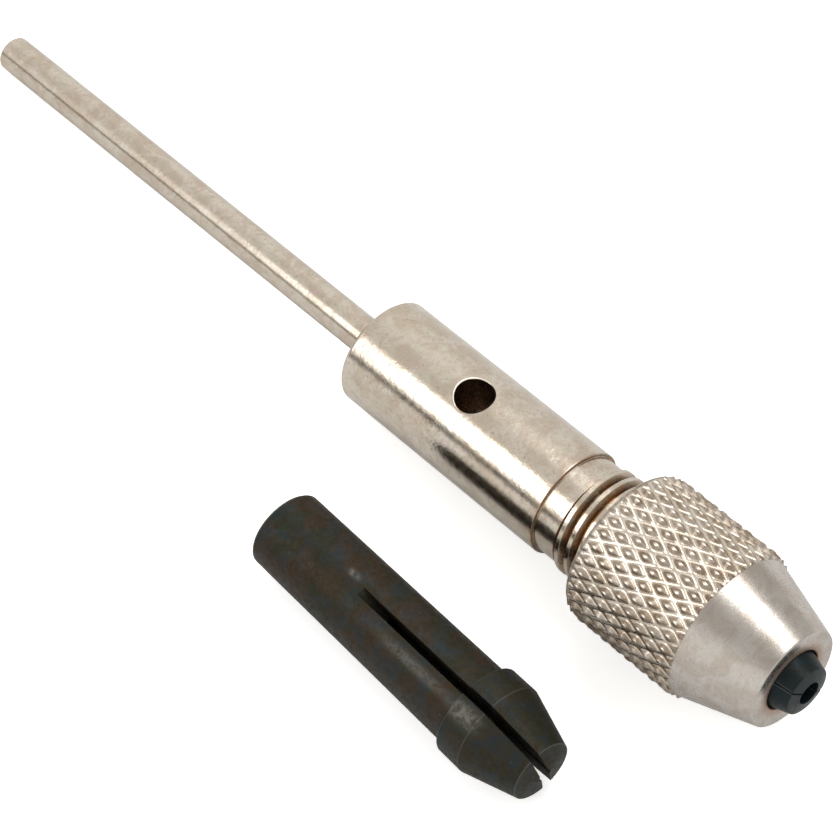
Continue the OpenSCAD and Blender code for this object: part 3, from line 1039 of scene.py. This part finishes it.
# ---------------------------------------------------------------- light
def area_light(name, along, across, degrees, length, width, radiance):
    """A rectangle facing the holder. along, across: its direction's parts along X and
    away from X. degrees: its turn round X from +Y. length, width: shares of its distance."""
    distance = 0.6                           # metres
    turn = math.radians(degrees)
    direction = Vector((along, across * math.cos(turn), across * math.sin(turn))).normalized()
    light = bpy.data.lights.new(name, "AREA")
    light.shape = "RECTANGLE"
    light.size, light.size_y = length * distance, width * distance
    light.energy = radiance * math.pi * light.size * light.size_y
    ob = bpy.data.objects.new(name, light)
    bpy.context.scene.collection.objects.link(ob)
    # local Z points away from the holder; local X lies as near its axis as it can
    local_x = (Vector((1, 0, 0)) - direction * direction.x).normalized()
    turned = Matrix((local_x, direction.cross(local_x), direction)).transposed()
    target = Vector((0.01, 0, 0))
    ob.matrix_world = Matrix.Translation(direction * distance + target) @ turned.to_4x4()


# over the near side (-Y): the bright stripe along the barrel
area_light("key", along=-0.325, across=0.946, degrees=132, length=0.41, width=0.52, radiance=3.6)
# over the far side (+Y): the bright band on the nose cone
area_light("fill", along=-0.03, across=0.99, degrees=64, length=0.70, width=0.56, radiance=3.2)


def make_world():
    """A plain pale room with a few darker zones."""
    world = bpy.data.worlds.new("studio")
    bpy.context.scene.world = world
    world.use_nodes = True
    nodes = Nodes(world.node_tree)
    out = nodes.node("ShaderNodeOutputWorld")
    background = nodes.node("ShaderNodeBackground")
    nodes.feed(out, {0: background.outputs[0]})
    x, y, z = nodes.xyz(nodes.node("ShaderNodeTexCoord").outputs["Generated"])

    def toward(direction):
        """Cosine of the angle from a direction."""
        unit = Vector(direction).normalized()
        flat = nodes.sum(nodes.mul(x, unit.x), nodes.mul(y, unit.y))
        return nodes.sum(flat, nodes.mul(z, unit.z))

    def kept(mask, loss):
        return nodes.math("SUBTRACT", 1.0, nodes.mul(mask, loss))

    far = nodes.mul(nodes.ramp(y, start=0.35, end=0.85), nodes.ramp(x, start=-0.55, end=-0.15))
    above = nodes.ramp(toward((-0.48, -0.10, 0.87)), start=0.72, end=0.97)
    camera_zone = nodes.ramp(toward((0.30, -0.36, 0.88)), start=0.80, end=0.985)
    low = nodes.mul(nodes.ramp(z, start=0.20, end=0.25), nodes.ramp(z, start=0.40, end=0.34))
    near = nodes.mul(nodes.ramp(y, start=-0.45, end=-0.62),
                     nodes.ramp(x, start=-0.12, end=-0.26))
    level = nodes.mul(kept(far, loss=0.38), kept(above, loss=0.13),
                      kept(camera_zone, loss=0.42), kept(nodes.mul(low, near), loss=0.88))
    green, blue = 0.985, 0.955               # shares of red, for a slightly warm white
    nodes.feed(background, {
        "Color": nodes.vec(level, nodes.mul(level, green), nodes.mul(level, blue)),
        "Strength": 1.0,
    })


make_world()


# ---------------------------------------------------------------- camera
def make_camera():
    data = bpy.data.cameras.new("camera")
    data.sensor_width = 36.0
    data.lens = 153.25
    data.clip_start, data.clip_end = 0.01, 10.0
    camera = bpy.data.objects.new("camera", data)
    bpy.context.scene.collection.objects.link(camera)
    right = Vector((0.679889, 0.724285, -0.114727))
    up = Vector((-0.552749, 0.608977, 0.568873))
    back = Vector((0.481892, -0.323355, 0.814384))
    place = Vector((144.1634, -94.7301, 231.8844)) * MM
    turned = Matrix((right, up, back)).transposed()
    camera.matrix_world = Matrix.Translation(place) @ turned.to_4x4()
    bpy.context.scene.camera = camera


make_camera()
bpy.context.scene.view_settings.view_transform = "Standard"
